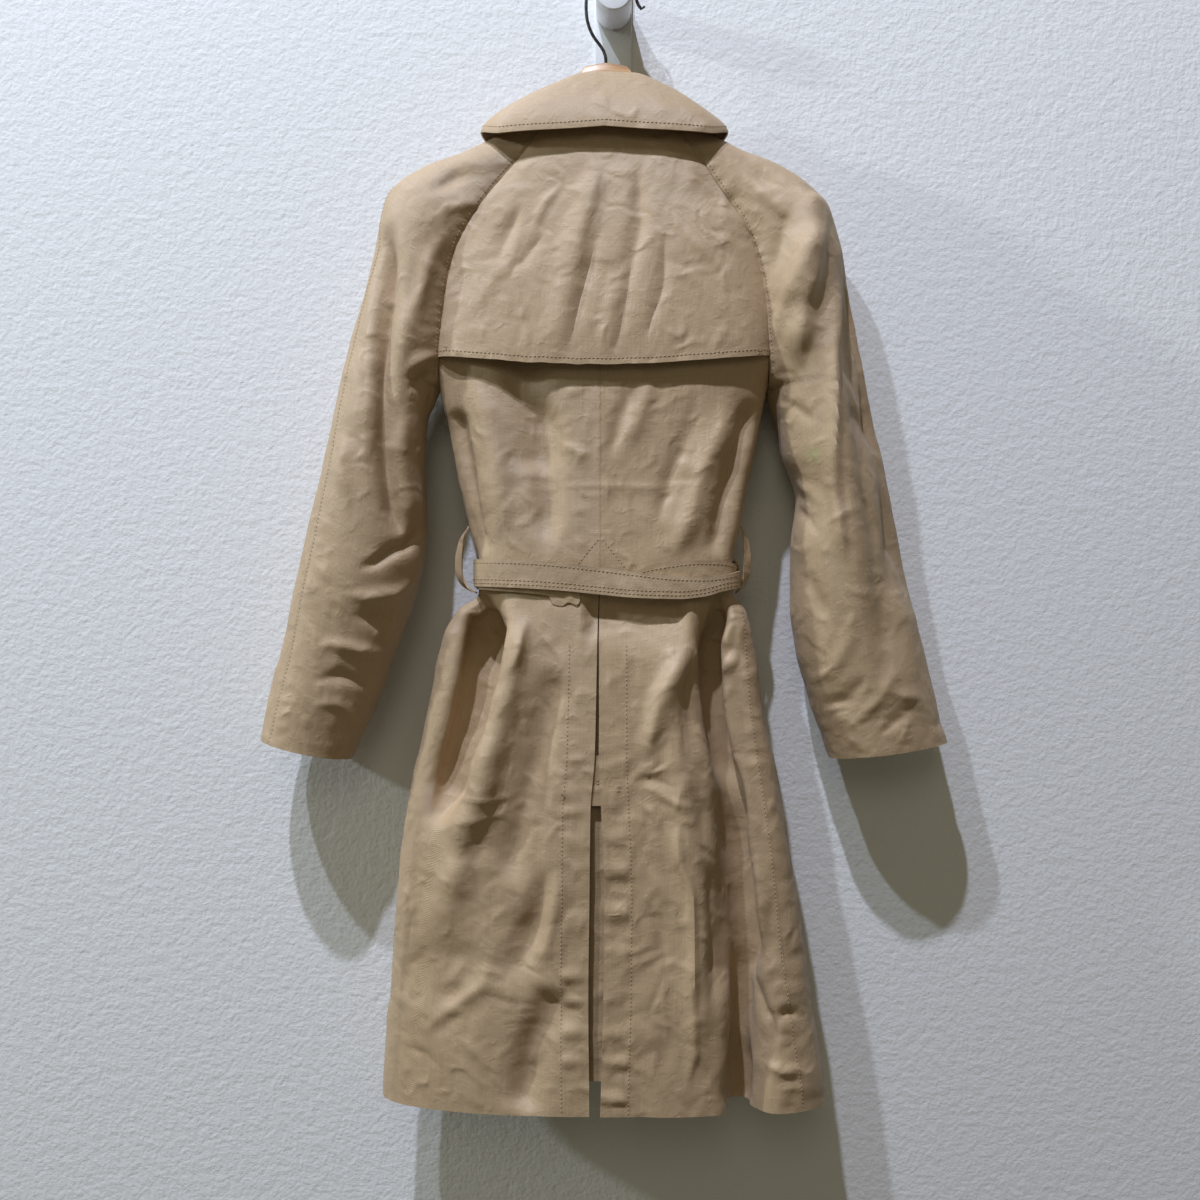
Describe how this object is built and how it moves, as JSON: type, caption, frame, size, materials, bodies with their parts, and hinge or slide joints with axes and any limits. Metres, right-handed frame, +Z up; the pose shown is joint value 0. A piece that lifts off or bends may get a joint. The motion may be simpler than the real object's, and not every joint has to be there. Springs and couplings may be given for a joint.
{
  "type": "belted trench coat on a wooden hanger, hung on a wall hook",
  "caption": "Belted raglan trench coat with storm flap and back slit, on a wooden hanger hung by its wire hook over a round wall peg.",
  "frame": {"origin": "on the wall plane, on the plate's back face behind the peg's axis", "axes": "+X to the right as seen from the room, +Y into the wall, +Z up"},
  "size_m": [0.6913, 0.1291, 1.1577],
  "materials": {
    "gabardine": "beige cotton gabardine, crumpled, slight sheen",
    "buttons": "dark brown horn-look plastic",
    "hanger_wood": "clear varnished light wood",
    "hook_wire": "dark plated steel wire",
    "wall_hook": "white powder coat, satin"
  },
  "bodies": {
    "root": {"back_left": "gabardine", "back_right": "gabardine", "front_left": "gabardine", "front_right": "gabardine", "sleeve_left_back": "gabardine", "sleeve_left_front": "gabardine", "sleeve_right_back": "gabardine", "sleeve_right_front": "gabardine", "back_yoke": "gabardine", "vent_underlay": "gabardine", "vent_tab": "gabardine", "collar_stand": "gabardine", "collar_fall": "gabardine", "belt": "gabardine", "belt_knot": "gabardine", "belt_tail_left": "gabardine", "belt_tail_right": "gabardine", "belt_loop_left": "gabardine", "belt_loop_right": "gabardine", "button_1": "buttons", "button_2": "buttons", "button_3": "buttons", "button_4": "buttons", "button_5": "buttons", "hanger_wood": "hanger_wood", "hanger_hook": "hook_wire", "wall_plate": "wall_hook", "wall_peg": "wall_hook"}
  },
  "joints": []
}
